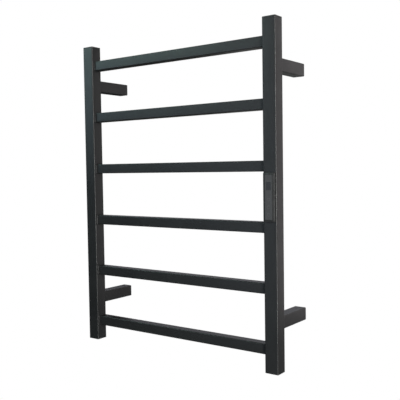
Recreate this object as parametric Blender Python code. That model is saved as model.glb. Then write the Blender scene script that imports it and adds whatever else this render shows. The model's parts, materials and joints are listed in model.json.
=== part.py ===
"""Six bar electric towel warmer rack.

Two square tube uprights carry six square rungs, and four standoffs hold the rack off the wall. A heating
cable runs through every rung, and a touch control in the right upright switches it.

Metres, +Z up. The front faces -Y and the wall is the plane y = 0. X = 0 is the middle of the rack's width
and Z = 0 is the middle of its height.
"""

import math

import bmesh
import bpy
from mathutils import Vector

# Overall
RACK_WIDTH = 0.600
RACK_HEIGHT = 0.800
GAP = 0.0003  # left between two pieces that touch
SCREW_CLEARANCE = 0.0004  # radial, between a screw and its hole
CUT_OVERRUN = 0.002  # how far a cut runs past the wall that it opens

# Uprights
UPRIGHT_WIDTH = 0.034
UPRIGHT_DEPTH = 0.032
UPRIGHT_WALL = 0.0015
UPRIGHT_RADIUS = 0.002
CAP_THICKNESS = 0.0025
CAP_CHAMFER = 0.0005
CAP_PLUG_LENGTH = 0.010
CAP_PLUG_WALL = 0.0018

# Rungs
RUNG_COUNT = 6
END_RUNG_INSET = 0.0525  # from an upright's end to the centre of the nearest rung
RUNG_HEIGHT = 0.025
RUNG_DEPTH = 0.025
RUNG_WALL = 0.0012
RUNG_RADIUS = 0.002

# Standoffs
STANDOFF_LENGTH = 0.108  # from the wall to the uprights' rear faces
STANDOFF_SIZE = 0.030
STANDOFF_WALL = 0.0015
STANDOFF_RADIUS = 0.0022
STANDOFF_PLATE = 0.003
STANDOFF_WALL_GAP = 0.0005
UPPER_STANDOFF_DROP = 0.105  # from the top of the rack to the standoff's centre
LOWER_STANDOFF_RISE = 0.114  # from the bottom of the rack to the standoff's centre

# Fasteners that hold the standoffs to the uprights
BOLT_RADIUS = 0.004
BOLT_HEAD_ACROSS = 0.013
BOLT_HEAD_HEIGHT = 0.0053
BOLT_REACH = 0.016  # length under the head
BOLT_TIP_CHAMFER = 0.0006
HOLLOW_BOLT_RADIUS = 0.006
HOLLOW_BOLT_BORE = 0.0038
HOLLOW_BOLT_HEAD_ACROSS = 0.018
NUT_SIZE = 0.018
NUT_THICKNESS = 0.008

# Wall bosses inside the standoffs
BOSS_DEPTH = 0.025
BOSS_CHAMFER = 0.001
BOSS_SCREW_RADIUS = 0.00275
BOSS_COUNTERBORE_RADIUS = 0.005
BOSS_SCREW_SEAT = 0.008  # material under the wall screw's head
BOSS_HOLE_SHARE = 0.0065 / 0.0264  # of the boss's width, from its middle to each of two holes beside it
BOSS_HOLE_RISE = 0.003
CABLE_HOLE_RADIUS = 0.0043
GROMMET_WALL = 0.001
GROMMET_FLANGE = 0.0012
GROMMET_FLANGE_THICKNESS = 0.0015
GRUB_RADIUS = 0.0025
GRUB_LENGTH = 0.0055
GRUB_RECESS = 0.0002
GRUB_SOCKET_ACROSS = 0.0025
GRUB_SOCKET_DEPTH = 0.0025
GRUB_TIP_CHAMFER = 0.0007

# Control
PANEL_HEIGHT = 0.111
PANEL_SIDE_MARGIN = 0.0025  # from the upright's edge to the panel's edge
PANEL_PROUD = 0.0065
PANEL_RADIUS = 0.003
RIM_WIDTH = 0.005  # the sloping border round the glass
RIM_LIP = 0.0004
RIM_DROP = 0.0012
RIM_EDGE = 0.0006
GLASS_RADIUS = 0.0012
GLASS_THICKNESS = 0.0012
WEB_THICKNESS = 0.0012
BODY_SIDE_STEP = 0.002
BODY_END_STEP = 0.0058
BODY_DEPTH = 0.0165  # behind the upright's front face
BODY_WALL = 0.0012
SLOT_CLEARANCE = 0.001  # beside the heating cable, where it enters the housing
SLOT_SIDE = 0.0008  # beside the wires, where they enter the housing
LEDGE_WIDTH = 0.0015
LEDGE_END = 0.0025
BOARD_FRONT = 0.002  # behind the upright's front face
BOARD_THICKNESS = 0.0016
DISPLAY_WIDTH = 0.0154
DISPLAY_HEIGHT = 0.0214
DISPLAY_MARGIN = 0.0198  # from the panel's top to the display's top
KEY_MARGIN = 0.0165  # from the panel's bottom to the lowest key's middle
KEY_SPACING_SHARE = 17 / 53.3  # of the length from the display's bottom to the lowest key
KEY_COUNT = 3
KEY_SPRING_RADIUS = 0.003
KEY_SPRING_WIRE = 0.00035
KEY_SPRING_TURNS = 4
KEY_HOLE_RADIUS = 0.0045
RELAY_HEIGHT = 0.019
RELAY_DEPTH = 0.011
RELAY_ROOM_SHARE = 6.5 / 23  # of the free length between the terminal blocks, the part above the relay
POWER_HEIGHT = 0.030
POWER_DEPTH = 0.0115
POWER_ROOM_SHARE = 9 / 23  # of the same free length, the part below the power module
TERMINAL_HEIGHT = 0.009
TERMINAL_DEPTH = 0.011
TERMINAL_WIDTH_MARGIN = 0.004  # a terminal block and the power module are this much narrower than the board
RELAY_WIDTH_MARGIN = 0.005
TERMINAL_MARGIN = 0.0022  # from the board's end to a terminal block's outer end
BOARD_END_CLEARANCE = 0.001  # at each end of the board, besides the gap

# Heating cable and wires
CABLE_RADIUS = 0.0025
CABLE_BEND = 0.007
CABLE_INSET = 0.0105  # from the uprights' front inner face to the cable's centre
INNER_LANE = 0.008  # from the upright's inner wall to the cable's centre
LIVE_LANE = 0.0085  # from the upright's inner wall to the live wire's centre
OUTER_LANE = 0.010  # from the upright's outer wall to the cable's centre
CABLE_PASS_RADIUS = 0.004
CUTOUT_RADIUS = 0.003
CUTOUT_LENGTH = 0.016
CUTOUT_RISE = 0.055  # from the upper terminal block to the thermal cutout
WIRE_RADIUS = 0.001
WIRE_BEND = 0.003
WIRE_INSET = 0.0028  # from the upright's rear inner face to the wires' centres
WIRE_PITCH = 0.004
WIRE_TURN = 0.011  # from a terminal block's end to where its wires turn
SENSOR_RADIUS = 0.002
SENSOR_LENGTH = 0.008
SENSOR_RISE = 0.080
CONNECTOR_WIDTH = 0.017
CONNECTOR_HEIGHT = 0.020
CONNECTOR_DEPTH = 0.010
CONNECTOR_RISE = 0.024  # from the lower standoff's centre to the connector's bottom
EARTH_RISE = 0.036  # from the connector's top to the earth screw
EARTH_SCREW_RADIUS = 0.002
EARTH_HEAD_RADIUS = 0.004
EARTH_HEAD_HEIGHT = 0.0024
EARTH_HEAD_CHAMFER = 0.0008
EARTH_SCREW_LENGTH = 0.008
EARTH_NUT_ACROSS = 0.007
EARTH_NUT_THICKNESS = 0.0032
LUG_RADIUS = 0.0045
LUG_THICKNESS = 0.001
LUG_TAIL = 0.011
LUG_BARREL = 0.004
LUG_BARREL_LENGTH = 0.006

# Places that follow from the sizes
FRONT = -(STANDOFF_LENGTH + UPRIGHT_DEPTH)
REAR = -STANDOFF_LENGTH
UPRIGHT_X = (RACK_WIDTH - UPRIGHT_WIDTH) / 2
INNER_X = RACK_WIDTH / 2 - UPRIGHT_WIDTH
RUNG_Y = REAR - RUNG_DEPTH / 2
RUNG_PITCH = (RACK_HEIGHT - 2 * END_RUNG_INSET) / (RUNG_COUNT - 1)
RUNG_ZS = [RACK_HEIGHT / 2 - END_RUNG_INSET - i * RUNG_PITCH for i in range(RUNG_COUNT)]
UPPER_STANDOFF_Z = RACK_HEIGHT / 2 - UPPER_STANDOFF_DROP
LOWER_STANDOFF_Z = LOWER_STANDOFF_RISE - RACK_HEIGHT / 2
CABLE_Y = FRONT + UPRIGHT_WALL + CABLE_INSET
WIRE_Y = REAR - UPRIGHT_WALL - WIRE_INSET
INNER_LANE_X = INNER_X + UPRIGHT_WALL + INNER_LANE
OUTER_LANE_X = RACK_WIDTH / 2 - UPRIGHT_WALL - OUTER_LANE
LIVE_X = INNER_X + UPRIGHT_WALL + LIVE_LANE
NEUTRAL_X = LIVE_X + WIRE_PITCH
CONNECTOR_BOTTOM = LOWER_STANDOFF_Z + CONNECTOR_RISE
EARTH_Z = CONNECTOR_BOTTOM + CONNECTOR_HEIGHT + EARTH_RISE
EARTH_X = OUTER_LANE_X
PANEL_WIDTH = UPRIGHT_WIDTH - 2 * PANEL_SIDE_MARGIN
BODY_WIDTH = PANEL_WIDTH - 2 * BODY_SIDE_STEP
BODY_HEIGHT = PANEL_HEIGHT - 2 * BODY_END_STEP
BOARD_WIDTH = BODY_WIDTH - 2 * BODY_WALL - 2 * GAP
BOARD_HEIGHT = BODY_HEIGHT - 2 * BODY_WALL - 2 * GAP - 2 * BOARD_END_CLEARANCE
TERMINAL_END = BOARD_HEIGHT / 2 - TERMINAL_MARGIN  # from the panel's middle to a terminal block's outer end
TERMINAL_INNER = TERMINAL_END - TERMINAL_HEIGHT
BOARD_FREE_LENGTH = 2 * TERMINAL_INNER - RELAY_HEIGHT - POWER_HEIGHT
RELAY_Z = TERMINAL_INNER - RELAY_ROOM_SHARE * BOARD_FREE_LENGTH - RELAY_HEIGHT / 2
POWER_Z = POWER_HEIGHT / 2 + POWER_ROOM_SHARE * BOARD_FREE_LENGTH - TERMINAL_INNER
DISPLAY_Z = PANEL_HEIGHT / 2 - DISPLAY_MARGIN - DISPLAY_HEIGHT / 2
KEY_BOTTOM_Z = KEY_MARGIN - PANEL_HEIGHT / 2
KEY_SPACING = KEY_SPACING_SHARE * (DISPLAY_Z - DISPLAY_HEIGHT / 2 - KEY_BOTTOM_Z)
KEY_TOP_Z = KEY_BOTTOM_Z + (KEY_COUNT - 1) * KEY_SPACING
BOSS_SIZE = STANDOFF_SIZE - 2 * STANDOFF_WALL - 2 * GAP
BOSS_HOLE_OFFSET = BOSS_HOLE_SHARE * BOSS_SIZE

# Turns a piece that is drawn along Z so that its length runs towards the front, or along X
TO_FRONT = (math.radians(90), 0, 0)
ALONG_X = (0, math.radians(90), 0)


def remove_everything():
    for old in list(bpy.data.objects):
        bpy.data.objects.remove(old, do_unlink=True)


def make_material(name, colour, roughness, metallic):
    mat = bpy.data.materials.new(name)
    mat.use_nodes = True
    shader = mat.node_tree.nodes["Principled BSDF"]
    shader.inputs["Base Color"].default_value = (*colour, 1)
    shader.inputs["Roughness"].default_value = roughness
    shader.inputs["Metallic"].default_value = metallic
    mat.diffuse_color = (*colour, 1)
    return mat


def make_object(name, mesh, location=(0, 0, 0), rotation=(0, 0, 0), mat=None):
    obj = bpy.data.objects.new(name, mesh)
    bpy.context.scene.collection.objects.link(obj)
    obj.location = location
    obj.rotation_euler = rotation
    if mat is not None:
        obj.data.materials.append(mat)
        obj.parent = RACK
    return obj


def rectangle(width, height, radius, corner_steps=3, side_points=0):
    """A rounded rectangle's outline, anticlockwise. side_points divides each side, to match a round hole."""
    centre_x = width / 2 - radius
    centre_y = height / 2 - radius
    points = []
    for turn, (sign_x, sign_y) in enumerate(((1, 1), (-1, 1), (-1, -1), (1, -1))):
        for i in range(corner_steps + 1):
            angle = math.radians(90) * (turn + i / corner_steps)
            x = sign_x * centre_x + radius * math.cos(angle)
            y = sign_y * centre_y + radius * math.sin(angle)
            points.append((x, y))
        start = math.atan2(points[-1][1], points[-1][0])
        next_x, next_y = ((-centre_x, height / 2), (-width / 2, -centre_y),
                          (centre_x, -height / 2), (width / 2, centre_y))[turn]
        if turn in (0, 2):
            first_x = points[-1][0]
            for i in range(side_points):
                share = (i + 1) / (side_points + 1)
                points.append((first_x + (next_x - first_x) * share, points[-1][1]))
        else:
            first_y = points[-1][1]
            for i in range(side_points):
                share = (i + 1) / (side_points + 1)
                points.append((points[-1][0], first_y + (next_y - first_y) * share))
    return points


def circle_like(outline, radius):
    """A circle with one point in the direction of each point of an outline."""
    points = []
    for x, y in outline:
        angle = math.atan2(y, x)
        points.append((radius * math.cos(angle), radius * math.sin(angle)))
    return points


def circle(radius, count=24):
    angles = [math.tau * i / count for i in range(count)]
    return [(radius * math.cos(angle), radius * math.sin(angle)) for angle in angles]


def hexagon(across, per_side=4):
    """A hexagon across its flats, with each side divided so that it can meet a circle."""
    corner = across / math.sqrt(3)
    corners = circle(corner, 6)
    points = []
    for i in range(6):
        (x0, y0), (x1, y1) = corners[i], corners[(i + 1) % 6]
        for j in range(per_side):
            points.append((x0 + (x1 - x0) * j / per_side, y0 + (y1 - y0) * j / per_side))
    return points


def rings_mesh(name, rings, ring_closes):
    """Outlines at given heights, joined in order. The solid closes on itself, or has a face at each end."""
    mesh = bpy.data.meshes.new(name)
    work = bmesh.new()
    loops = [[work.verts.new((x, y, height)) for x, y in outline] for outline, height in rings]
    pairs = list(zip(loops, loops[1:]))
    if ring_closes:
        pairs.append((loops[-1], loops[0]))
    for low, high in pairs:
        for i in range(len(low)):
            j = (i + 1) % len(low)
            work.faces.new((low[i], low[j], high[j], high[i]))
    if not ring_closes:
        work.faces.new(loops[0])
        work.faces.new(loops[-1])
    bmesh.ops.recalc_face_normals(work, faces=work.faces)
    work.to_mesh(mesh)
    work.free()
    mesh.shade_smooth()
    mesh.set_sharp_from_angle(angle=math.radians(28))
    return mesh


def block(name, width, height, low, high, radius, location, rotation, mat):
    """A block with rounded corners, from one height to another."""
    outline = rectangle(width, height, radius)
    mesh = rings_mesh(name, [(outline, low), (outline, high)], False)
    return make_object(name, mesh, location, rotation, mat)


def cut(target, cutter, operation="DIFFERENCE"):
    """Takes the cutter's shape out of the target, or adds it."""
    cutter.hide_render = True
    cutter.display_type = "WIRE"
    step = target.modifiers.new(cutter.name, "BOOLEAN")
    step.operation = operation
    step.solver = "EXACT"
    step.object = cutter


def hole(target, name, radius, start, end, count=32):
    """Cuts a round hole from one point to another."""
    start = Vector(start)
    end = Vector(end)
    outline = circle(radius, count)
    mesh = rings_mesh(name, [(outline, 0), (outline, (end - start).length)], False)
    tool = make_object(name, mesh, start)
    tool.rotation_mode = "QUATERNION"
    tool.rotation_quaternion = Vector((0, 0, 1)).rotation_difference(end - start)
    cut(target, tool)


def slot(target, name, low, high, operation="DIFFERENCE"):
    """Cuts the box between two corners, or adds it."""
    mesh = bpy.data.meshes.new(name)
    work = bmesh.new()
    bmesh.ops.create_cube(work, size=1)
    for vert in work.verts:
        for axis in range(3):
            vert.co[axis] = high[axis] if vert.co[axis] > 0 else low[axis]
    bmesh.ops.recalc_face_normals(work, faces=work.faces)
    work.to_mesh(mesh)
    work.free()
    cut(target, make_object(name, mesh), operation)


def round_corners(corners, radius, steps=5):
    """The path through square corners, each one turned with a quarter circle."""
    points = [Vector(corners[0])]
    for before, corner, after in zip(corners, corners[1:], corners[2:]):
        corner = Vector(corner)
        into = (corner - Vector(before)).normalized()
        out = (Vector(after) - corner).normalized()
        centre = corner - into * radius + out * radius
        for i in range(steps + 1):
            angle = math.radians(90) * i / steps
            points.append(centre - out * radius * math.cos(angle) + into * radius * math.sin(angle))
    points.append(Vector(corners[-1]))
    return points


def cable(name, points, radius, mat, scales=None, bevel_resolution=2):
    """A round cable or wire along a path, closed at both ends."""
    curve = bpy.data.curves.new(name, "CURVE")
    curve.dimensions = "3D"
    curve.bevel_depth = radius
    curve.bevel_resolution = bevel_resolution
    curve.use_fill_caps = True
    spline = curve.splines.new("POLY")
    spline.points.add(len(points) - 1)
    for i, point in enumerate(points):
        spline.points[i].co = (*point, 1)
        spline.points[i].radius = scales[i] if scales else 1
    return make_object(name, curve, mat=mat)


remove_everything()
RACK = bpy.data.objects.new("towel_warmer", None)
bpy.context.scene.collection.objects.link(RACK)

BLACK_PAINT = make_material("black_powder_coat", (0.030, 0.034, 0.036), 0.55, 0.0)
BLACK_PLASTIC = make_material("black_plastic", (0.022, 0.024, 0.026), 0.5, 0.0)
BLACK_GLASS = make_material("black_glass", (0.035, 0.038, 0.042), 0.08, 0.0)
STEEL = make_material("zinc_steel", (0.62, 0.63, 0.64), 0.35, 1.0)
BRASS = make_material("brass", (0.72, 0.53, 0.25), 0.3, 1.0)
SILICONE = make_material("white_silicone", (0.75, 0.74, 0.70), 0.6, 0.0)
RED_SILICONE = make_material("red_silicone", (0.45, 0.05, 0.04), 0.55, 0.0)
BLUE_PVC = make_material("blue_insulation", (0.03, 0.10, 0.42), 0.5, 0.0)
BROWN_PVC = make_material("brown_insulation", (0.16, 0.07, 0.03), 0.5, 0.0)
EARTH_PVC = make_material("green_insulation", (0.05, 0.35, 0.08), 0.5, 0.0)
RUBBER = make_material("rubber", (0.02, 0.02, 0.02), 0.85, 0.0)
BOARD_GREEN = make_material("circuit_board", (0.02, 0.16, 0.07), 0.45, 0.0)
RELAY_BLUE = make_material("relay_case", (0.05, 0.13, 0.40), 0.4, 0.0)
NYLON = make_material("white_nylon", (0.72, 0.72, 0.68), 0.5, 0.0)


def upright(name, side):
    """A tube with a cable hole at each rung and a bolt hole at each standoff."""
    outer = rectangle(UPRIGHT_WIDTH, UPRIGHT_DEPTH, UPRIGHT_RADIUS)
    inner = rectangle(UPRIGHT_WIDTH - 2 * UPRIGHT_WALL, UPRIGHT_DEPTH - 2 * UPRIGHT_WALL,
                      UPRIGHT_RADIUS - UPRIGHT_WALL)
    end = RACK_HEIGHT / 2 - CAP_THICKNESS - GAP
    mesh = rings_mesh(name, [(outer, -end), (outer, end), (inner, end), (inner, -end)], True)
    tube = make_object(name, mesh, (side * UPRIGHT_X, (FRONT + REAR) / 2, 0), mat=BLACK_PAINT)
    for i, z in enumerate(RUNG_ZS):
        hole(tube, f"{name}_cable_hole_{i + 1}", CABLE_PASS_RADIUS,
             (side * (INNER_X - CUT_OVERRUN), CABLE_Y, z),
             (side * (INNER_X + UPRIGHT_WALL + CUT_OVERRUN), CABLE_Y, z), 24)
    for level, z in (("upper", UPPER_STANDOFF_Z), ("lower", LOWER_STANDOFF_Z)):
        radius = HOLLOW_BOLT_RADIUS if side > 0 and level == "lower" else BOLT_RADIUS
        hole(tube, f"{name}_{level}_bolt_hole", radius + SCREW_CLEARANCE,
             (side * UPRIGHT_X, REAR + CUT_OVERRUN, z),
             (side * UPRIGHT_X, REAR - UPRIGHT_WALL - CUT_OVERRUN, z))
    return tube


def end_cap(name, side, end):
    """A moulded cap: a plate as wide as the tube and a hollow plug inside it."""
    outer = rectangle(UPRIGHT_WIDTH, UPRIGHT_DEPTH, UPRIGHT_RADIUS)
    edge_width = UPRIGHT_WIDTH - 2 * CAP_CHAMFER
    edge_depth = UPRIGHT_DEPTH - 2 * CAP_CHAMFER
    edge = rectangle(edge_width, edge_depth, UPRIGHT_RADIUS - CAP_CHAMFER)
    plug_width = UPRIGHT_WIDTH - 2 * UPRIGHT_WALL - 2 * GAP
    plug_depth = UPRIGHT_DEPTH - 2 * UPRIGHT_WALL - 2 * GAP
    plug = rectangle(plug_width, plug_depth, UPRIGHT_RADIUS - UPRIGHT_WALL)
    pocket = rectangle(plug_width - 2 * CAP_PLUG_WALL, plug_depth - 2 * CAP_PLUG_WALL, 0.0005)
    rings = [
        (edge, 0),
        (outer, -CAP_CHAMFER),
        (outer, -CAP_THICKNESS),
        (plug, -CAP_THICKNESS),
        (plug, -CAP_THICKNESS - CAP_PLUG_LENGTH),
        (pocket, -CAP_THICKNESS - CAP_PLUG_LENGTH),
        (pocket, -CAP_THICKNESS),
    ]
    rotation = (0, 0, 0) if end > 0 else (math.radians(180), 0, 0)
    location = (side * UPRIGHT_X, (FRONT + REAR) / 2, end * RACK_HEIGHT / 2)
    return make_object(name, rings_mesh(name, rings, False), location, rotation, BLACK_PLASTIC)


def rung(name, z):
    outer = rectangle(RUNG_HEIGHT, RUNG_DEPTH, RUNG_RADIUS)
    inner = rectangle(RUNG_HEIGHT - 2 * RUNG_WALL, RUNG_DEPTH - 2 * RUNG_WALL, RUNG_RADIUS - RUNG_WALL)
    end = INNER_X - GAP
    mesh = rings_mesh(name, [(outer, -end), (outer, end), (inner, end), (inner, -end)], True)
    return make_object(name, mesh, (0, RUNG_Y, z), ALONG_X, BLACK_PAINT)


def standoff(name, x, z, bolt_radius):
    """A tube with a drilled plate at its front end, open to the wall, with a grub screw hole underneath."""
    outer = rectangle(STANDOFF_SIZE, STANDOFF_SIZE, STANDOFF_RADIUS, side_points=5)
    inside = STANDOFF_SIZE - 2 * STANDOFF_WALL
    inner = rectangle(inside, inside, STANDOFF_RADIUS - STANDOFF_WALL, side_points=5)
    bore = circle_like(outer, bolt_radius + SCREW_CLEARANCE)
    end = STANDOFF_LENGTH - GAP
    rings = [
        (outer, STANDOFF_WALL_GAP),
        (outer, end),
        (bore, end),
        (bore, end - STANDOFF_PLATE),
        (inner, end - STANDOFF_PLATE),
        (inner, STANDOFF_WALL_GAP),
    ]
    tube = make_object(name, rings_mesh(name, rings, True), (x, 0, z), TO_FRONT, BLACK_PAINT)
    hole(tube, f"{name}_grub_hole", GRUB_RADIUS + SCREW_CLEARANCE,
         (x, -BOSS_DEPTH / 2, z - STANDOFF_SIZE / 2 - CUT_OVERRUN),
         (x, -BOSS_DEPTH / 2, z - STANDOFF_SIZE / 2 + STANDOFF_WALL + CUT_OVERRUN))
    return tube


def hex_bolt(name, x, z, radius, across, bore):
    """A bolt whose head bears on the standoff's plate and whose shank points to the front."""
    head = hexagon(across)
    shank = circle_like(head, radius)
    tip = circle_like(head, radius - BOLT_TIP_CHAMFER)
    top = BOLT_HEAD_HEIGHT
    rings = [
        (head, 0),
        (head, top),
        (shank, top),
        (shank, top + BOLT_REACH - BOLT_TIP_CHAMFER),
        (tip, top + BOLT_REACH),
    ]
    if bore:
        bore_outline = circle_like(head, bore)
        rings = rings + [(bore_outline, top + BOLT_REACH), (bore_outline, 0)]
    bearing = REAR + GAP + STANDOFF_PLATE + GAP
    return make_object(name, rings_mesh(name, rings, bool(bore)), (x, bearing + top, z), TO_FRONT, STEEL)


def frame_nut(name, x, z, radius):
    """A square nut fixed inside the upright, behind its rear wall."""
    outer = rectangle(NUT_SIZE, NUT_SIZE, 0.001, side_points=5)
    bore = circle_like(outer, radius + SCREW_CLEARANCE)
    rings = [(outer, 0), (outer, NUT_THICKNESS), (bore, NUT_THICKNESS), (bore, 0)]
    location = (x, REAR - UPRIGHT_WALL - GAP, z)
    return make_object(name, rings_mesh(name, rings, True), location, TO_FRONT, STEEL)


def wall_boss(name, x, z, passes_cable):
    """The block that is screwed to the wall and that a standoff slides over."""
    outer = rectangle(BOSS_SIZE, BOSS_SIZE, 0.001)
    edge = rectangle(BOSS_SIZE - 2 * BOSS_CHAMFER, BOSS_SIZE - 2 * BOSS_CHAMFER, 0.0005)
    rings = [(outer, 0), (outer, BOSS_DEPTH - BOSS_CHAMFER), (edge, BOSS_DEPTH)]
    boss = make_object(name, rings_mesh(name, rings, False), (x, 0, z), TO_FRONT, STEEL)
    hole_x = x - BOSS_HOLE_OFFSET if passes_cable else x
    hole_z = z + BOSS_HOLE_RISE if passes_cable else z
    front_end = -BOSS_DEPTH - CUT_OVERRUN
    hole(boss, f"{name}_screw_hole", BOSS_SCREW_RADIUS, (hole_x, CUT_OVERRUN, hole_z),
         (hole_x, front_end, hole_z))
    hole(boss, f"{name}_counterbore", BOSS_COUNTERBORE_RADIUS,
         (hole_x, -BOSS_SCREW_SEAT, hole_z), (hole_x, front_end, hole_z))
    if passes_cable:
        cable_x = x + BOSS_HOLE_OFFSET
        hole(boss, f"{name}_cable_hole", CABLE_HOLE_RADIUS, (cable_x, CUT_OVERRUN, hole_z),
             (cable_x, front_end, hole_z))
    grub_top = z - STANDOFF_SIZE / 2 + GRUB_RECESS + GRUB_LENGTH + GAP
    hole(boss, f"{name}_grub_hole", GRUB_RADIUS + SCREW_CLEARANCE,
         (x, -BOSS_DEPTH / 2, z - STANDOFF_SIZE / 2), (x, -BOSS_DEPTH / 2, grub_top))
    return boss


def grub_screw(name, x, z):
    """A socket set screw, driven up through the underside of the standoff."""
    socket = hexagon(GRUB_SOCKET_ACROSS)
    body = circle_like(socket, GRUB_RADIUS)
    tip = circle_like(socket, GRUB_RADIUS - GRUB_TIP_CHAMFER)
    rings = [
        (socket, GRUB_SOCKET_DEPTH),
        (socket, 0),
        (body, 0),
        (body, GRUB_LENGTH - GRUB_TIP_CHAMFER),
        (tip, GRUB_LENGTH),
    ]
    location = (x, -BOSS_DEPTH / 2, z - STANDOFF_SIZE / 2 + GRUB_RECESS)
    return make_object(name, rings_mesh(name, rings, False), location, mat=STEEL)


def control_housing():
    """The moulded tray in the right upright's window: a rim for the glass, a web and a box for the board."""
    flange = rectangle(PANEL_WIDTH, PANEL_HEIGHT, PANEL_RADIUS)
    slope_foot = rectangle(PANEL_WIDTH - 2 * RIM_EDGE, PANEL_HEIGHT - 2 * RIM_EDGE, PANEL_RADIUS - RIM_EDGE)
    lip = RIM_WIDTH - RIM_LIP
    slope_top = rectangle(PANEL_WIDTH - 2 * lip, PANEL_HEIGHT - 2 * lip, GLASS_RADIUS + RIM_LIP)
    recess = rectangle(PANEL_WIDTH - 2 * RIM_WIDTH, PANEL_HEIGHT - 2 * RIM_WIDTH, GLASS_RADIUS)
    body = rectangle(BODY_WIDTH, BODY_HEIGHT, 0.0010)
    inside_width = BODY_WIDTH - 2 * BODY_WALL
    inside_height = BODY_HEIGHT - 2 * BODY_WALL
    cavity = rectangle(inside_width, inside_height, 0.0006)
    front_cavity = rectangle(inside_width - 2 * LEDGE_WIDTH, inside_height - 2 * LEDGE_END, 0.0006)
    ledge = -(BOARD_FRONT - GAP)
    recess_floor = PANEL_PROUD - GLASS_THICKNESS - GAP
    rings = [
        (recess, recess_floor),
        (recess, PANEL_PROUD),
        (slope_top, PANEL_PROUD),
        (slope_foot, PANEL_PROUD - RIM_DROP),
        (flange, PANEL_PROUD - RIM_DROP - RIM_EDGE),
        (flange, GAP),
        (body, GAP),
        (body, -BODY_DEPTH),
        (cavity, -BODY_DEPTH),
        (cavity, ledge),
        (front_cavity, ledge),
        (front_cavity, recess_floor - WEB_THICKNESS),
    ]
    name = "control_housing"
    tray = make_object(name, rings_mesh(name, rings, False), (UPRIGHT_X, FRONT, 0), TO_FRONT, BLACK_PLASTIC)
    half_width = DISPLAY_WIDTH / 2 + GAP
    half_height = DISPLAY_HEIGHT / 2 + GAP
    web_front = FRONT - PANEL_PROUD
    web_rear = FRONT - recess_floor + WEB_THICKNESS + CUT_OVERRUN
    slot(tray, "display_window", (UPRIGHT_X - half_width, web_front, DISPLAY_Z - half_height),
         (UPRIGHT_X + half_width, web_rear, DISPLAY_Z + half_height))
    for i in range(KEY_COUNT):
        z = KEY_TOP_Z - i * KEY_SPACING
        hole(tray, f"key_hole_{i + 1}", KEY_HOLE_RADIUS, (UPRIGHT_X, web_front, z), (UPRIGHT_X, web_rear, z))
    slot_front = FRONT + BOARD_FRONT + BOARD_THICKNESS - GAP
    slot_rear = FRONT + BODY_DEPTH + CUT_OVERRUN
    for word, sign in (("top", 1), ("bottom", -1)):
        ends = sorted((sign * (BODY_HEIGHT / 2 + CUT_OVERRUN), sign * (BODY_HEIGHT / 2 - BODY_WALL - 0.0002)))
        slot(tray, f"{word}_cable_slot", (OUTER_LANE_X - CABLE_RADIUS - SLOT_CLEARANCE, slot_front, ends[0]),
             (OUTER_LANE_X + CABLE_RADIUS + SLOT_CLEARANCE, slot_rear, ends[1]))
        slot(tray, f"{word}_wire_slot", (LIVE_X - WIRE_RADIUS - SLOT_SIDE, slot_front, ends[0]),
             (NEUTRAL_X + WIRE_RADIUS + SLOT_SIDE, slot_rear, ends[1]))
    return tray


def control():
    """The touch control: its housing, glass, board and what the board carries."""
    front = (UPRIGHT_X, FRONT, 0)
    control_housing()
    glass_back = PANEL_PROUD - GLASS_THICKNESS
    block("touch_glass", PANEL_WIDTH - 2 * RIM_WIDTH - 2 * GAP, PANEL_HEIGHT - 2 * RIM_WIDTH - 2 * GAP,
          glass_back, PANEL_PROUD, GLASS_RADIUS - GAP, front, TO_FRONT, BLACK_GLASS)
    board_back = -(BOARD_FRONT + BOARD_THICKNESS)
    block("control_board", BOARD_WIDTH, BOARD_HEIGHT, board_back, -BOARD_FRONT, 0.0005, front, TO_FRONT,
          BOARD_GREEN)
    block("display_module", DISPLAY_WIDTH, DISPLAY_HEIGHT, -(BOARD_FRONT - GAP), glass_back - GAP, 0.0005,
          (UPRIGHT_X, FRONT, DISPLAY_Z), TO_FRONT, BLACK_PLASTIC)
    for i in range(KEY_COUNT):
        z = KEY_TOP_Z - i * KEY_SPACING
        margin = GAP + KEY_SPRING_WIRE
        start = FRONT + BOARD_FRONT - margin
        length = start - (FRONT - glass_back + margin)
        steps = KEY_SPRING_TURNS * 12
        points = []
        for j in range(steps + 1):
            angle = math.tau * KEY_SPRING_TURNS * j / steps
            points.append((UPRIGHT_X + KEY_SPRING_RADIUS * math.cos(angle), start - length * j / steps,
                           z + KEY_SPRING_RADIUS * math.sin(angle)))
        cable(f"touch_spring_{i + 1}", points, KEY_SPRING_WIRE, BRASS, bevel_resolution=1)
    behind = board_back - GAP
    block("relay", BOARD_WIDTH - RELAY_WIDTH_MARGIN, RELAY_HEIGHT, behind - RELAY_DEPTH, behind, 0.0008,
          (UPRIGHT_X, FRONT, RELAY_Z), TO_FRONT, RELAY_BLUE)
    block("power_module", BOARD_WIDTH - TERMINAL_WIDTH_MARGIN, POWER_HEIGHT,
          behind - POWER_DEPTH, behind, 0.0008,
          (UPRIGHT_X, FRONT, POWER_Z), TO_FRONT, BLACK_PLASTIC)
    for word, sign in (("upper", 1), ("lower", -1)):
        block(f"{word}_terminal_block", BOARD_WIDTH - TERMINAL_WIDTH_MARGIN, TERMINAL_HEIGHT,
              behind - TERMINAL_DEPTH, behind, 0.0005,
              (UPRIGHT_X, FRONT, sign * (TERMINAL_END - TERMINAL_HEIGHT / 2)), TO_FRONT, NYLON)


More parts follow.
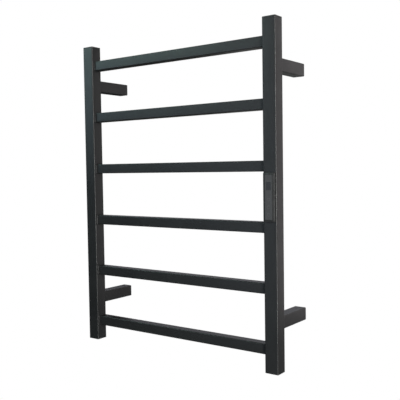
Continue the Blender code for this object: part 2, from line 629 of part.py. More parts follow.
def heating_circuit():
    """The heating cable through all the rungs, and the cutout and link between it and the control."""
    cutout_bottom = TERMINAL_END + CUTOUT_RISE
    cutout_top = cutout_bottom + CUTOUT_LENGTH
    corners = [(OUTER_LANE_X, CABLE_Y, cutout_top + GAP), (OUTER_LANE_X, CABLE_Y, RUNG_ZS[0])]
    for i in range(RUNG_COUNT - 1):
        lane = -UPRIGHT_X if i % 2 == 0 else INNER_LANE_X
        corners.append((lane, CABLE_Y, RUNG_ZS[i]))
        corners.append((lane, CABLE_Y, RUNG_ZS[i + 1]))
    corners.append((OUTER_LANE_X, CABLE_Y, RUNG_ZS[-1]))
    corners.append((OUTER_LANE_X, CABLE_Y, -TERMINAL_END - GAP))
    cable("heating_cable", round_corners(corners, CABLE_BEND), CABLE_RADIUS, RED_SILICONE)
    ring = circle(CUTOUT_RADIUS)
    mesh = rings_mesh("thermal_cutout", [(ring, 0), (ring, CUTOUT_LENGTH)], False)
    make_object("thermal_cutout", mesh, (OUTER_LANE_X, CABLE_Y, cutout_bottom), mat=SILICONE)
    link = [(OUTER_LANE_X, CABLE_Y, cutout_bottom - GAP), (OUTER_LANE_X, CABLE_Y, TERMINAL_END + GAP)]
    cable("cutout_wire", link, WIRE_RADIUS, BROWN_PVC)


def temperature_sensor():
    """A probe against the upright's rear wall with its lead running down to the control."""
    front_y = CABLE_Y + WIRE_RADIUS
    turn = TERMINAL_END + WIRE_TURN
    bead_top = TERMINAL_END + SENSOR_RISE
    bead_bottom = bead_top - SENSOR_LENGTH
    corners = [
        (LIVE_X, WIRE_Y, bead_bottom - 0.001),
        (LIVE_X, WIRE_Y, turn),
        (LIVE_X, front_y, turn),
        (LIVE_X, front_y, TERMINAL_END + GAP),
    ]
    lead = round_corners(corners, WIRE_BEND)
    bead = [(LIVE_X, WIRE_Y, bead_top), (LIVE_X, WIRE_Y, bead_top - 0.001), (LIVE_X, WIRE_Y, bead_bottom)]
    wide = SENSOR_RADIUS / WIRE_RADIUS
    scales = [wide * 0.5, wide, wide] + [0.8] * len(lead)
    cable("temperature_sensor", bead + lead, WIRE_RADIUS, STEEL, scales)


def supply_wiring():
    """The connector above the supply inlet and its three wires, one of them earthing the frame."""
    connector_top = CONNECTOR_BOTTOM + CONNECTOR_HEIGHT
    block("supply_connector", CONNECTOR_WIDTH, CONNECTOR_HEIGHT, 0, CONNECTOR_DEPTH, 0.0008,
          (UPRIGHT_X, REAR - UPRIGHT_WALL - GAP, CONNECTOR_BOTTOM + CONNECTOR_HEIGHT / 2), TO_FRONT, NYLON)
    front_y = CABLE_Y + WIRE_RADIUS
    turn = -(TERMINAL_END + WIRE_TURN)
    for name, x, mat in (("live_wire", LIVE_X, BROWN_PVC), ("neutral_wire", NEUTRAL_X, BLUE_PVC)):
        corners = [(x, WIRE_Y, connector_top + GAP), (x, WIRE_Y, turn), (x, front_y, turn),
                   (x, front_y, -TERMINAL_END - GAP)]
        cable(name, round_corners(corners, WIRE_BEND), WIRE_RADIUS, mat)
    lug_bottom = EARTH_Z - LUG_TAIL
    cable("earth_wire", [(EARTH_X, WIRE_Y, connector_top + GAP), (EARTH_X, WIRE_Y, lug_bottom - GAP)],
          WIRE_RADIUS, EARTH_PVC)
    wall = REAR - UPRIGHT_WALL
    ring = circle(LUG_RADIUS)
    bore = circle(EARTH_SCREW_RADIUS + SCREW_CLEARANCE)
    rings = [(ring, 0), (ring, LUG_THICKNESS), (bore, LUG_THICKNESS), (bore, 0)]
    mesh = rings_mesh("earth_lug", rings, True)
    lug = make_object("earth_lug", mesh, (EARTH_X, wall - GAP, EARTH_Z), TO_FRONT, BRASS)
    half = LUG_BARREL / 2
    slot(lug, "earth_lug_tail", (EARTH_X - half, wall - GAP - LUG_THICKNESS, lug_bottom + 0.001),
         (EARTH_X + half, wall - GAP, EARTH_Z - LUG_RADIUS + 0.001), "UNION")
    slot(lug, "earth_lug_barrel", (EARTH_X - half, wall - GAP - LUG_BARREL, lug_bottom),
         (EARTH_X + half, wall - GAP, lug_bottom + LUG_BARREL_LENGTH), "UNION")
    shank = circle(EARTH_SCREW_RADIUS)
    head = circle(EARTH_HEAD_RADIUS)
    head_edge = circle(EARTH_HEAD_RADIUS - EARTH_HEAD_CHAMFER)
    rings = [
        (head_edge, 0),
        (head, EARTH_HEAD_CHAMFER),
        (head, EARTH_HEAD_HEIGHT),
        (shank, EARTH_HEAD_HEIGHT),
        (shank, EARTH_HEAD_HEIGHT + EARTH_SCREW_LENGTH),
    ]
    make_object("earth_screw", rings_mesh("earth_screw", rings, False),
                (EARTH_X, REAR + GAP + EARTH_HEAD_HEIGHT, EARTH_Z), TO_FRONT, STEEL)
    outer = hexagon(EARTH_NUT_ACROSS)
    bore = circle_like(outer, EARTH_SCREW_RADIUS + SCREW_CLEARANCE)
    rings = [(outer, 0), (outer, EARTH_NUT_THICKNESS), (bore, EARTH_NUT_THICKNESS), (bore, 0)]
    make_object("earth_nut", rings_mesh("earth_nut", rings, True),
                (EARTH_X, wall - GAP - LUG_THICKNESS - GAP, EARTH_Z), TO_FRONT, STEEL)


def cable_grommet(x, z):
    """A rubber sleeve through the wall boss, with a flange at its front."""
    outer = circle(CABLE_HOLE_RADIUS - GAP)
    flange = circle(CABLE_HOLE_RADIUS - GAP + GROMMET_FLANGE)
    bore = circle(CABLE_HOLE_RADIUS - GAP - GROMMET_WALL)
    seat = BOSS_DEPTH + GAP
    rings = [
        (outer, 0.001),
        (outer, seat),
        (flange, seat),
        (flange, seat + GROMMET_FLANGE_THICKNESS),
        (bore, seat + GROMMET_FLANGE_THICKNESS),
        (bore, 0.001),
    ]
    location = (x + BOSS_HOLE_OFFSET, 0, z + BOSS_HOLE_RISE)
    make_object("cable_grommet", rings_mesh("cable_grommet", rings, True), location, TO_FRONT, RUBBER)


upright("left_upright", -1)
right = upright("right_upright", 1)
slot(right, "control_window", (UPRIGHT_X - BODY_WIDTH / 2 - GAP, FRONT - CUT_OVERRUN, -BODY_HEIGHT / 2 - GAP),
     (UPRIGHT_X + BODY_WIDTH / 2 + GAP, FRONT + UPRIGHT_WALL + CUT_OVERRUN, BODY_HEIGHT / 2 + GAP))
hole(right, "earth_screw_hole", EARTH_SCREW_RADIUS + SCREW_CLEARANCE,
     (EARTH_X, REAR + CUT_OVERRUN, EARTH_Z), (EARTH_X, REAR - UPRIGHT_WALL - CUT_OVERRUN, EARTH_Z), 24)

for side_name, side in (("left", -1), ("right", 1)):
    end_cap(f"{side_name}_top_cap", side, 1)
    end_cap(f"{side_name}_bottom_cap", side, -1)

for number, rung_z in enumerate(RUNG_ZS):
    rung(f"rung_{number + 1}", rung_z)

for side_name, side in (("left", -1), ("right", 1)):
    for level_name, level_z in (("upper", UPPER_STANDOFF_Z), ("lower", LOWER_STANDOFF_Z)):
        place = f"{level_name}_{side_name}"
        standoff_x = side * UPRIGHT_X
        takes_supply = place == "lower_right"
        fastener_radius = HOLLOW_BOLT_RADIUS if takes_supply else BOLT_RADIUS
        standoff(f"{place}_standoff", standoff_x, level_z, fastener_radius)
        if takes_supply:
            hex_bolt("lower_right_hollow_bolt", standoff_x, level_z, HOLLOW_BOLT_RADIUS,
                     HOLLOW_BOLT_HEAD_ACROSS, HOLLOW_BOLT_BORE)
            cable_grommet(standoff_x, level_z)
        else:
            hex_bolt(f"{place}_bolt", standoff_x, level_z, BOLT_RADIUS, BOLT_HEAD_ACROSS, 0)
        frame_nut(f"{place}_frame_nut", standoff_x, level_z, fastener_radius)
        wall_boss(f"{place}_wall_boss", standoff_x, level_z, takes_supply)
        grub_screw(f"{place}_grub_screw", standoff_x, level_z)

control()
heating_circuit()
temperature_sensor()
supply_wiring()
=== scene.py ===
"""Looks of the electric towel warmer rack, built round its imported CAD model.

The CAD nodes keep their shapes. This script gives them materials and smooth shading, adds
the weld fillets at the rungs' ends, and sets up the studio: floor, lights and camera.
Metres, +Z up, the front faces -Y.
"""

import json
import math

import bmesh
import bpy
import numpy as np
from mathutils import Matrix, Vector


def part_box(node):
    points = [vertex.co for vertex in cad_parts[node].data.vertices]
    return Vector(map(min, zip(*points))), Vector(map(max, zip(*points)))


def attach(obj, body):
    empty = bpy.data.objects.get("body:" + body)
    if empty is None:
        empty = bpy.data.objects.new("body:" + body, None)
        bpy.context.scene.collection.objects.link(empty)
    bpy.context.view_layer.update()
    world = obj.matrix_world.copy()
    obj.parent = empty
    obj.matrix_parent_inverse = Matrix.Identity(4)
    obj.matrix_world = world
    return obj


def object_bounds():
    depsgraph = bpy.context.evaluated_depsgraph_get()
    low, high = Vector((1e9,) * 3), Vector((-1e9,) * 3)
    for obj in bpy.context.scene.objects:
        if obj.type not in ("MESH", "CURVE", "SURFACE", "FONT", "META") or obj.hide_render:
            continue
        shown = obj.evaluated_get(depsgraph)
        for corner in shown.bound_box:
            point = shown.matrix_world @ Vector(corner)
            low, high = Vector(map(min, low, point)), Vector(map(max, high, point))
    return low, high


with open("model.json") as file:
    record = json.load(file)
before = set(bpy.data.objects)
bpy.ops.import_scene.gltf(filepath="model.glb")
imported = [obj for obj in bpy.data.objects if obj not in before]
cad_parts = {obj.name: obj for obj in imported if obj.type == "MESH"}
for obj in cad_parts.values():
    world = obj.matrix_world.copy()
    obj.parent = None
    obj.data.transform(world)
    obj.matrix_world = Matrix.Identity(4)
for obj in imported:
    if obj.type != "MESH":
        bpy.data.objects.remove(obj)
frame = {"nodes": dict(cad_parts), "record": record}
NODES = frame["nodes"]
CAD_LOW, CAD_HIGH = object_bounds()

# Shading
SHARP_ANGLE = math.radians(50)  # faces that meet at less than this are shaded as one
MERGE_DISTANCE = 0.000005  # points nearer than this are one point
QUARTER_TURN = math.radians(90)

# Print and marks on the touch glass
KEY_COUNT = 3
KEY_RING_RADIUS = 0.0032
KEY_RING_HALF_WIDTH = 0.00022
WINDOW_MARGIN = 0.0015  # from the display window's edge to the display module's

# Wires and board
STRIPE_TWIST = 120.0  # radians for each metre of the earth wire
STRIPE_EDGE = 0.45  # of the sine; the stripe is where the sine is above it
PAD_PITCH = 0.00254
TRACK_EDGE = 0.86  # of the sine; a track is where the sine is above it
PAD_EDGE = 0.93  # of the two sines' product; a pad is where it is above it
TRACK_PATCHES = 0.52  # noise above it has upright tracks, and the rest has level ones
PAD_PATCHES = 0.55  # noise above it has pads

# Welds at the rungs' ends
WELD_LEG = 0.0011
WELD_EMBED = 0.00008  # how far a weld reaches into the tubes it joins
WELD_ARC_STEPS = 5
TUBE_CORNER = 0.002
RUNG_CORNER = 0.002
CORNER_STEPS = 4
RUNG_COUNT = 6

# Camera
CAMERA_PLACE = (1.0169, -1.39564, 0.06411)
CAMERA_YAW = math.radians(36.453)
CAMERA_PITCH = math.radians(-2.697)
CAMERA_ROLL = math.radians(-0.837)
LENS = 58.506
SENSOR = 36.0

# Studio
FLOOR_DROP = 1.0  # from the rack's lowest point to the floor
FLOOR_SIZE = 16.0
FLOOR_SQUARES = 8  # along each side
FLOOR_GREY = 0.32
FLOOR_ROUGHNESS = 0.9
ROOM_LIGHT = 0.03
ROOM_COLOUR = (0.97, 1.0, 1.0)
MIDDLE = (0.0, -0.12, 0.0)  # the middle of the frame, where most lights are aimed
UPPER_LEFT = (-0.284, -0.137, 0.25)  # near the top of the left upright

# Lights: name, azimuth and elevation in degrees, distance, width, height, radiance, colour, target
SOFTBOXES = (
    ("window_left", -50, 12, 3.0, 1.1, 1.1, 1.9, (0.64, 0.84, 1.00), UPPER_LEFT),
    ("sky_left", -43, 24, 3.0, 0.8, 0.8, 6.6, (0.61, 1.00, 0.82), UPPER_LEFT),
    ("front_high", -28, 22, 3.0, 1.0, 1.3, 0.90, (0.85, 0.80, 1.00), MIDDLE),
    ("front_low", -24, -4, 3.0, 1.2, 1.6, 0.85, (0.77, 0.87, 1.00), MIDDLE),
    ("window_right", 60, 5, 2.8, 0.5, 2.4, 31.5, (1.00, 1.00, 0.98), MIDDLE),
    ("behind_right", 152, 5, 2.6, 1.0, 2.2, 0.97, (1.00, 0.93, 0.95), MIDDLE),
    ("behind_left", -140, 25, 3.0, 2.4, 1.6, 0.75, (0.91, 0.91, 1.00), MIDDLE),
    ("behind_low", -170, -10, 3.0, 2.6, 1.2, 0.20, (1.00, 1.00, 1.00), MIDDLE),
    ("behind_high", 178, 30, 3.0, 2.4, 1.2, 0.50, (1.00, 1.00, 1.00), MIDDLE),
)


# ---------------------------------------------------------------- materials


class Surface:
    """A procedural material under construction: a Principled shader and the nodes that feed it."""

    def __init__(self, name, metallic=0.0):
        self.mat = bpy.data.materials.new(name)
        self.mat.use_nodes = True
        self.tree = self.mat.node_tree
        self.shader = self.tree.nodes["Principled BSDF"]
        self.shader.inputs["Metallic"].default_value = metallic
        place = self.tree.nodes.new("ShaderNodeTexCoord")
        self.place = place.outputs["Object"]
        self.normal = None

    def link(self, source, target):
        self.tree.links.new(source, target)

    def noise(self, scale, detail=2.0, roughness=0.5, stretch=None):
        """Noise from 0 to 1 with its features about 1 / scale metres apart."""
        node = self.tree.nodes.new("ShaderNodeTexNoise")
        node.inputs["Scale"].default_value = scale
        node.inputs["Detail"].default_value = detail
        node.inputs["Roughness"].default_value = roughness
        if stretch is None:
            self.link(self.place, node.inputs["Vector"])
        else:
            mapping = self.tree.nodes.new("ShaderNodeMapping")
            mapping.inputs["Scale"].default_value = stretch
            self.link(self.place, mapping.inputs["Vector"])
            self.link(mapping.outputs["Vector"], node.inputs["Vector"])
        return node.outputs["Fac"]

    def spread(self, value, low, high, from_low=0.3, from_high=0.7):
        """Maps a value from its usual range to low..high, clamped."""
        node = self.tree.nodes.new("ShaderNodeMapRange")
        node.inputs["From Min"].default_value = from_low
        node.inputs["From Max"].default_value = from_high
        node.inputs["To Min"].default_value = low
        node.inputs["To Max"].default_value = high
        self.link(value, node.inputs["Value"])
        return node.outputs["Result"]

    def between(self, factor, first, second):
        """A colour between two, each either a colour or another node's output."""
        node = self.tree.nodes.new("ShaderNodeMix")
        node.data_type = "RGBA"
        self.link(factor, node.inputs["Factor"])
        for socket, colour in ((node.inputs[6], first), (node.inputs[7], second)):
            if isinstance(colour, tuple):
                socket.default_value = (*colour, 1.0)
            else:
                self.link(colour, socket)
        return node.outputs[2]

    def clouded(self, scale, detail, dark, light):
        """A colour that drifts between dark and light with soft noise."""
        return self.between(self.spread(self.noise(scale, detail=detail), 0.0, 1.0), dark, light)

    def maths(self, operation, first, second=None):
        """One sum on numbers or other nodes' outputs."""
        node = self.tree.nodes.new("ShaderNodeMath")
        node.operation = operation
        for socket, value in zip(node.inputs, (first, second)):
            if value is None:
                continue
            if isinstance(value, (int, float)):
                socket.default_value = value
            else:
                self.link(value, socket)
        return node.outputs[0]

    def axes(self):
        """The x, y and z of the place on the surface, in metres."""
        node = self.tree.nodes.new("ShaderNodeSeparateXYZ")
        self.link(self.place, node.inputs[0])
        return node.outputs[0], node.outputs[1], node.outputs[2]

    def colour(self, source):
        self.link(source, self.shader.inputs["Base Color"])

    def roughness(self, source):
        self.link(source, self.shader.inputs["Roughness"])

    def bump(self, height, depth, strength):
        """Adds relief of that depth in metres on top of any earlier relief."""
        node = self.tree.nodes.new("ShaderNodeBump")
        node.inputs["Strength"].default_value = strength
        node.inputs["Distance"].default_value = depth
        self.link(height, node.inputs["Height"])
        if self.normal is not None:
            self.link(self.normal, node.inputs["Normal"])
        self.normal = node.outputs["Normal"]
        self.link(self.normal, self.shader.inputs["Normal"])


def powder_coat():
    """Fine-textured matte black powder coat: soft orange peel about a millimetre across, with
    a finer grain on it."""
    s = Surface("black_powder_coat_look")
    base = s.clouded(9.0, 3.0, (0.0095, 0.0100, 0.0102), (0.0130, 0.0136, 0.0137))
    grain = s.noise(1700.0, detail=2.0, roughness=0.6)
    flecks = s.spread(grain, 0.0, 0.45, from_low=0.52, from_high=0.72)
    s.colour(s.between(flecks, base, (0.022, 0.0225, 0.0225)))
    patches = s.spread(s.noise(23.0, detail=3.0), -0.025, 0.035)
    s.roughness(s.maths("ADD", s.spread(grain, 0.32, 0.40), patches))
    s.bump(s.noise(800.0, detail=1.0), 0.00006, 0.5)
    s.bump(grain, 0.00002, 0.5)
    return s.mat


def moulded(name, dark, light, smoothest, roughest, depth=0.00001):
    """Moulded plastic or rubber: an even colour with faint clouding, a fine spark-eroded grain
    and uneven gloss."""
    s = Surface(name)
    s.colour(s.clouded(60.0, 4.0, dark, light))
    s.roughness(s.spread(s.noise(140.0, detail=4.0), smoothest, roughest))
    s.bump(s.noise(2200.0, detail=2.0), depth, 0.6)
    return s.mat


def glass_panel():
    """Black back-printed glass with faint key rings, a display window and a few touch marks."""
    s = Surface("black_glass_look")
    x, _, z = s.axes()
    low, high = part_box("touch_glass")
    across = s.maths("SUBTRACT", x, (low.x + high.x) / 2)
    marks = None
    for number in range(1, KEY_COUNT + 1):
        spring_low, spring_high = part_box(f"touch_spring_{number}")
        up = s.maths("SUBTRACT", z, (spring_low.z + spring_high.z) / 2)
        squares = s.maths("ADD", s.maths("MULTIPLY", across, across), s.maths("MULTIPLY", up, up))
        off_ring = s.maths("SUBTRACT", s.maths("SQRT", squares), KEY_RING_RADIUS)
        ring = s.maths("LESS_THAN", s.maths("ABSOLUTE", off_ring), KEY_RING_HALF_WIDTH)
        marks = ring if marks is None else s.maths("MAXIMUM", marks, ring)
    window_low, window_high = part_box("display_module")
    half_width = (window_high.x - window_low.x) / 2 - WINDOW_MARGIN
    half_height = (window_high.z - window_low.z) / 2 - WINDOW_MARGIN
    up = s.maths("SUBTRACT", z, (window_high.z + window_low.z) / 2)
    in_width = s.maths("LESS_THAN", s.maths("ABSOLUTE", across), half_width)
    in_height = s.maths("LESS_THAN", s.maths("ABSOLUTE", up), half_height)
    window = s.maths("MULTIPLY", in_width, in_height)
    printed = s.clouded(70.0, 3.0, (0.038, 0.0375, 0.0375), (0.044, 0.0435, 0.043))
    with_window = s.between(window, printed, (0.014, 0.014, 0.015))
    s.colour(s.between(marks, with_window, (0.085, 0.085, 0.083)))
    touched = s.noise(160.0, detail=5.0, roughness=0.65)
    s.roughness(s.spread(touched, 0.12, 0.24, from_low=0.4, from_high=0.7))
    s.bump(s.noise(35.0, detail=1.0), 0.00003, 0.3)
    return s.mat


def plated_steel():
    """Bright zinc plate: cool, with fine lines from front to back and cloudy passivation."""
    s = Surface("zinc_steel_look", metallic=1.0)
    s.colour(s.clouded(220.0, 4.0, (0.50, 0.52, 0.55), (0.66, 0.67, 0.68)))
    lines = s.noise(1500.0, detail=2.0, stretch=(1.0, 0.08, 1.0))
    s.roughness(s.spread(lines, 0.24, 0.42))
    s.bump(lines, 0.000012, 0.5)
    return s.mat


def brass():
    """Bright brass with fine upright lines."""
    s = Surface("brass_look", metallic=1.0)
    s.colour(s.clouded(300.0, 4.0, (0.62, 0.42, 0.17), (0.74, 0.53, 0.25)))
    lines = s.noise(2000.0, detail=2.0, stretch=(1.0, 1.0, 0.15))
    s.roughness(s.spread(lines, 0.2, 0.36))
    s.bump(lines, 0.000008, 0.5)
    return s.mat


def earth_insulation():
    """Green wire insulation with a yellow stripe twisting round it."""
    s = Surface("green_insulation_look")
    x, y, z = s.axes()
    low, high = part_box("earth_wire")
    across = s.maths("SUBTRACT", x, (low.x + high.x) / 2)
    deep = s.maths("SUBTRACT", y, (low.y + high.y) / 2)
    angle = s.maths("ARCTAN2", across, deep)
    turned = s.maths("ADD", angle, s.maths("MULTIPLY", z, STRIPE_TWIST))
    stripe = s.maths("GREATER_THAN", s.maths("SINE", turned), STRIPE_EDGE)
    green = s.clouded(400.0, 3.0, (0.020, 0.20, 0.045), (0.030, 0.26, 0.060))
    s.colour(s.between(stripe, green, (0.72, 0.56, 0.03)))
    s.roughness(s.spread(s.noise(700.0, detail=3.0), 0.34, 0.48))
    s.bump(s.noise(1600.0, detail=2.0), 0.00001, 0.4)
    return s.mat


def circuit_board():
    """Green solder mask over copper tracks, with tinned pads."""
    s = Surface("circuit_board_look")
    x, _, z = s.axes()
    per_metre = math.pi / PAD_PITCH
    column = s.maths("ABSOLUTE", s.maths("SINE", s.maths("MULTIPLY", x, per_metre)))
    row = s.maths("ABSOLUTE", s.maths("SINE", s.maths("MULTIPLY", z, per_metre)))
    patch = s.maths("GREATER_THAN", s.noise(180.0, detail=0.0), TRACK_PATCHES)
    upright_tracks = s.maths("MULTIPLY", s.maths("GREATER_THAN", column, TRACK_EDGE), patch)
    elsewhere = s.maths("SUBTRACT", 1.0, patch)
    level_tracks = s.maths("MULTIPLY", s.maths("GREATER_THAN", row, TRACK_EDGE), elsewhere)
    tracks = s.maths("MAXIMUM", upright_tracks, level_tracks)
    crossings = s.maths("GREATER_THAN", s.maths("MULTIPLY", column, row), PAD_EDGE)
    with_pads = s.maths("GREATER_THAN", s.noise(230.0, detail=0.0), PAD_PATCHES)
    pads = s.maths("MULTIPLY", crossings, with_pads)
    mask = s.clouded(500.0, 3.0, (0.006, 0.075, 0.028), (0.010, 0.100, 0.038))
    tracked = s.between(tracks, mask, (0.022, 0.170, 0.062))
    s.colour(s.between(pads, tracked, (0.50, 0.50, 0.48)))
    s.roughness(s.spread(pads, 0.42, 0.26, from_low=0.0, from_high=1.0))
    s.bump(s.maths("MAXIMUM", tracks, pads), 0.00004, 0.6)
    return s.mat


LOOKS = {
    "black_powder_coat": powder_coat(),
    "black_plastic": moulded(
        "black_plastic_look", (0.0165, 0.017, 0.0175), (0.022, 0.0225, 0.023), 0.42, 0.55, depth=0.00002),
    "black_glass": glass_panel(),
    "zinc_steel": plated_steel(),
    "brass": brass(),
    "red_silicone": moulded(
        "red_silicone_look", (0.30, 0.028, 0.020), (0.38, 0.040, 0.028), 0.50, 0.66),
    "white_silicone": moulded(
        "white_silicone_look", (0.68, 0.67, 0.63), (0.76, 0.75, 0.72), 0.52, 0.68),
    "brown_insulation": moulded(
        "brown_insulation_look", (0.105, 0.045, 0.018), (0.140, 0.062, 0.026), 0.34, 0.48),
    "blue_insulation": moulded(
        "blue_insulation_look", (0.018, 0.075, 0.36), (0.026, 0.100, 0.44), 0.34, 0.48),
    "green_insulation": earth_insulation(),
    "rubber": moulded(
        "rubber_look", (0.010, 0.010, 0.010), (0.016, 0.016, 0.016), 0.62, 0.80, depth=0.00002),
    "circuit_board": circuit_board(),
    "relay_case": moulded(
        "relay_case_look", (0.035, 0.110, 0.34), (0.045, 0.130, 0.39), 0.22, 0.34),
    "white_nylon": moulded(
        "white_nylon_look", (0.66, 0.65, 0.60), (0.74, 0.73, 0.69), 0.36, 0.52),
}

for part in frame["record"]["subparts"]:
    node = NODES[part["node"]]
    node.data.materials.clear()
    node.data.materials.append(LOOKS[part["material_slot"]])


# ---------------------------------------------------------------- shading of the CAD nodes


def smooth_shading(obj):
    """Shades the rounded corners smoothly and keeps the flats flat. Each face corner's normal is
    the mean of the faces that meet there at less than the sharp angle, weighted by their areas."""
    mesh = obj.data
    count = len(mesh.vertices)
    places = np.zeros(count * 3)
    mesh.vertices.foreach_get("co", places)
    places = places.reshape(-1, 3)
    cells = np.round(places / MERGE_DISTANCE).astype(np.int64)
    _, spot = np.unique(cells, axis=0, return_inverse=True)
    spot = spot.ravel()
    face_normals = [p.normal.copy() for p in mesh.polygons]
    face_areas = [p.area for p in mesh.polygons]
    at_spot = {}
    for face in mesh.polygons:
        for vertex in face.vertices:
            at_spot.setdefault(spot[vertex], set()).add(face.index)
    limit = math.cos(SHARP_ANGLE)
    corner_normals = [None] * len(mesh.loops)
    for face in mesh.polygons:
        own = face_normals[face.index]
        for loop in face.loop_indices:
            total = Vector()
            for other in sorted(at_spot[spot[mesh.loops[loop].vertex_index]]):
                if face_normals[other].dot(own) > limit:
                    total += face_normals[other] * face_areas[other]
            corner_normals[loop] = total.normalized() if total.length > 0 else own
    for face in mesh.polygons:
        face.use_smooth = True
    mesh.normals_split_custom_set(corner_normals)


for node in NODES.values():
    smooth_shading(node)


# ---------------------------------------------------------------- welds


def corner_points(centre_y, centre_z, start, steps, radius):
    """Points and outward directions round a quarter circle, from the start angle on."""
    found = []
    for i in range(steps + 1):
        angle = start + QUARTER_TURN * i / steps
        out = Vector((math.cos(angle), math.sin(angle)))
        found.append((Vector((centre_y, centre_z)) + out * radius, out))
    return found


def weld(name, rung, side):
    """The fillet that joins a rung's end to its upright: round the top, front and bottom, with a
    flush fill at the back. side is -1 at the left upright and 1 at the right."""
    low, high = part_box(rung)
    upright_low, upright_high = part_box("right_upright" if side > 0 else "left_upright")
    face_x = upright_low.x if side > 0 else upright_high.x
    rung_end = high.x if side > 0 else low.x
    bm = bmesh.new()

    # The outline of the rung in (y, z), from the back of its top, over the front, to the back of its bottom
    straight_back = high.y - TUBE_CORNER
    corner_y = low.y + RUNG_CORNER
    path = [(Vector((straight_back, high.z)), Vector((0, 1)))]
    path += corner_points(corner_y, high.z - RUNG_CORNER, QUARTER_TURN, CORNER_STEPS, RUNG_CORNER)
    path += corner_points(corner_y, low.z + RUNG_CORNER, 2 * QUARTER_TURN, CORNER_STEPS, RUNG_CORNER)
    path += [(Vector((straight_back, low.z)), Vector((0, -1)))]

    # The fillet's section: distance out from the rung, distance away from the upright
    section = [(-WELD_EMBED, -WELD_EMBED), (WELD_LEG, -WELD_EMBED)]
    for i in range(WELD_ARC_STEPS + 1):
        angle = QUARTER_TURN * i / WELD_ARC_STEPS
        section.append((WELD_LEG * (1 - math.sin(angle)), WELD_LEG * (1 - math.cos(angle))))
    section.append((-WELD_EMBED, WELD_LEG))
    rings = []
    for place, out in path:
        ring = []
        for outward, away in section:
            y, z = place + out * outward
            ring.append(bm.verts.new((face_x - side * away, y, z)))
        rings.append(ring)
    for first, second in zip(rings, rings[1:]):
        for i in range(len(section)):
            j = (i + 1) % len(section)
            bm.faces.new((first[i], first[j], second[j], second[i]))
    bm.faces.new(rings[0])
    bm.faces.new(rings[-1])

    # The fill between the rung's back edge and the upright's rounded corner
    centre = Vector((face_x + side * TUBE_CORNER, high.y - TUBE_CORNER))
    inside_rung_x = rung_end - side * WELD_EMBED
    reach = TUBE_CORNER - WELD_EMBED
    outline = [Vector((inside_rung_x, high.y - WELD_EMBED)), Vector((inside_rung_x, high.y - TUBE_CORNER))]
    for i in range(CORNER_STEPS + 1):
        angle = QUARTER_TURN * i / CORNER_STEPS
        outline.append(centre + Vector((-side * math.cos(angle), math.sin(angle))) * reach)
    ends = []
    for z in (low.z + RUNG_CORNER / 2, high.z - RUNG_CORNER / 2):
        ends.append([bm.verts.new((p.x, p.y, z)) for p in outline])
    for i in range(len(outline)):
        j = (i + 1) % len(outline)
        bm.faces.new((ends[0][i], ends[0][j], ends[1][j], ends[1][i]))
    bm.faces.new(ends[0])
    bm.faces.new(ends[1])

    bmesh.ops.remove_doubles(bm, verts=bm.verts, dist=MERGE_DISTANCE)
    bmesh.ops.recalc_face_normals(bm, faces=bm.faces)
    mesh = bpy.data.meshes.new(name)
    bm.to_mesh(mesh)
    bm.free()
    obj = bpy.data.objects.new(name, mesh)
    bpy.context.scene.collection.objects.link(obj)
    mesh.materials.append(LOOKS["black_powder_coat"])
    smooth_shading(obj)
    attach(obj, "root")


for number in range(1, RUNG_COUNT + 1):
    weld(f"rung_{number}_left_weld", f"rung_{number}", -1)
    weld(f"rung_{number}_right_weld", f"rung_{number}", 1)


# ---------------------------------------------------------------- studio


def camera():
    """The camera, turned by its yaw, pitch and roll."""
    data = bpy.data.cameras.new("camera")
    data.lens = LENS
    data.sensor_width = SENSOR
    obj = bpy.data.objects.new("camera", data)
    bpy.context.scene.collection.objects.link(obj)
    up = Vector((0, 0, 1))
    level_forward = Vector((-math.sin(CAMERA_YAW), math.cos(CAMERA_YAW), 0))
    level_right = Vector((math.cos(CAMERA_YAW), math.sin(CAMERA_YAW), 0))
    forward = level_forward * math.cos(CAMERA_PITCH) + up * math.sin(CAMERA_PITCH)
    tilted_up = up * math.cos(CAMERA_PITCH) - level_forward * math.sin(CAMERA_PITCH)
    right = level_right * math.cos(CAMERA_ROLL) + tilted_up * math.sin(CAMERA_ROLL)
    camera_up = tilted_up * math.cos(CAMERA_ROLL) - level_right * math.sin(CAMERA_ROLL)
    turn = Matrix((right, camera_up, -forward)).transposed()
    obj.matrix_world = Matrix.Translation(CAMERA_PLACE) @ turn.to_4x4()
    bpy.context.scene.camera = obj


def softbox(name, azimuth, elevation, distance, width, height, radiance, colour, target):
    """A rectangular light that faces the target and that the camera doesn't see. Azimuth 0 is in
    front of the rack and 90 to its right, in degrees."""
    turn = math.radians(azimuth)
    rise = math.radians(elevation)
    away = Vector((math.sin(turn) * math.cos(rise), -math.cos(turn) * math.cos(rise), math.sin(rise)))
    data = bpy.data.lights.new(name, "AREA")
    data.shape = "RECTANGLE"
    data.size = width
    data.size_y = height
    data.energy = radiance * width * height * math.pi
    data.color = colour
    obj = bpy.data.objects.new(name, data)
    bpy.context.scene.collection.objects.link(obj)
    obj.location = Vector(target) + away * distance
    obj.rotation_mode = "QUATERNION"
    obj.rotation_quaternion = (-away).to_track_quat("-Z", "Y")
    obj.visible_camera = False


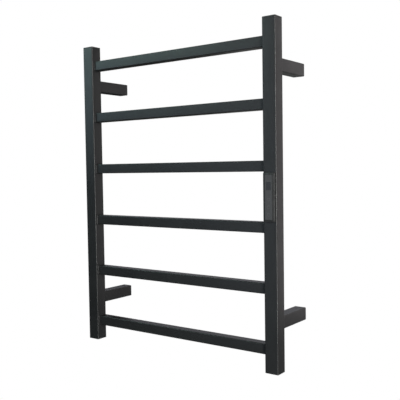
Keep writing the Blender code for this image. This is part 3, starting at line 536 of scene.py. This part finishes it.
def studio_floor():
    """A plain pale floor, well below the rack, that shows white to the camera and stays dim in
    the rack's gloss."""
    mesh = bpy.data.meshes.new("studio_floor")
    bm = bmesh.new()
    bmesh.ops.create_grid(bm, x_segments=FLOOR_SQUARES, y_segments=FLOOR_SQUARES, size=FLOOR_SIZE / 2)
    bm.to_mesh(mesh)
    bm.free()
    obj = bpy.data.objects.new("studio_floor", mesh)
    bpy.context.scene.collection.objects.link(obj)
    obj.location = (0, 0, CAD_LOW.z - FLOOR_DROP)
    mat = bpy.data.materials.new("pale_floor")
    mat.use_nodes = True
    tree = mat.node_tree
    shader = tree.nodes["Principled BSDF"]
    shader.inputs["Base Color"].default_value = (FLOOR_GREY, FLOOR_GREY, FLOOR_GREY, 1)
    shader.inputs["Roughness"].default_value = FLOOR_ROUGHNESS
    white = tree.nodes.new("ShaderNodeEmission")
    white.inputs["Strength"].default_value = 1.0
    seen = tree.nodes.new("ShaderNodeLightPath")
    mix = tree.nodes.new("ShaderNodeMixShader")
    tree.links.new(seen.outputs["Is Camera Ray"], mix.inputs["Fac"])
    tree.links.new(shader.outputs["BSDF"], mix.inputs[1])
    tree.links.new(white.outputs["Emission"], mix.inputs[2])
    tree.links.new(mix.outputs["Shader"], tree.nodes["Material Output"].inputs["Surface"])
    mesh.materials.append(mat)


def surroundings():
    """White to the camera, and a soft grey room for the light that falls on the rack."""
    world = bpy.data.worlds.new("studio")
    bpy.context.scene.world = world
    world.use_nodes = True
    tree = world.node_tree
    room = tree.nodes["Background"]
    room.inputs["Color"].default_value = (*ROOM_COLOUR, 1)
    room.inputs["Strength"].default_value = ROOM_LIGHT
    white = tree.nodes.new("ShaderNodeBackground")
    white.inputs["Color"].default_value = (1, 1, 1, 1)
    white.inputs["Strength"].default_value = 1.0
    seen = tree.nodes.new("ShaderNodeLightPath")
    mix = tree.nodes.new("ShaderNodeMixShader")
    tree.links.new(seen.outputs["Is Camera Ray"], mix.inputs["Fac"])
    tree.links.new(room.outputs["Background"], mix.inputs[1])
    tree.links.new(white.outputs["Background"], mix.inputs[2])
    tree.links.new(mix.outputs["Shader"], tree.nodes["World Output"].inputs["Surface"])


camera()
studio_floor()
surroundings()
for light in SOFTBOXES:
    softbox(*light)

bpy.context.scene.view_settings.view_transform = "Standard"
bpy.context.scene.view_settings.look = "None"
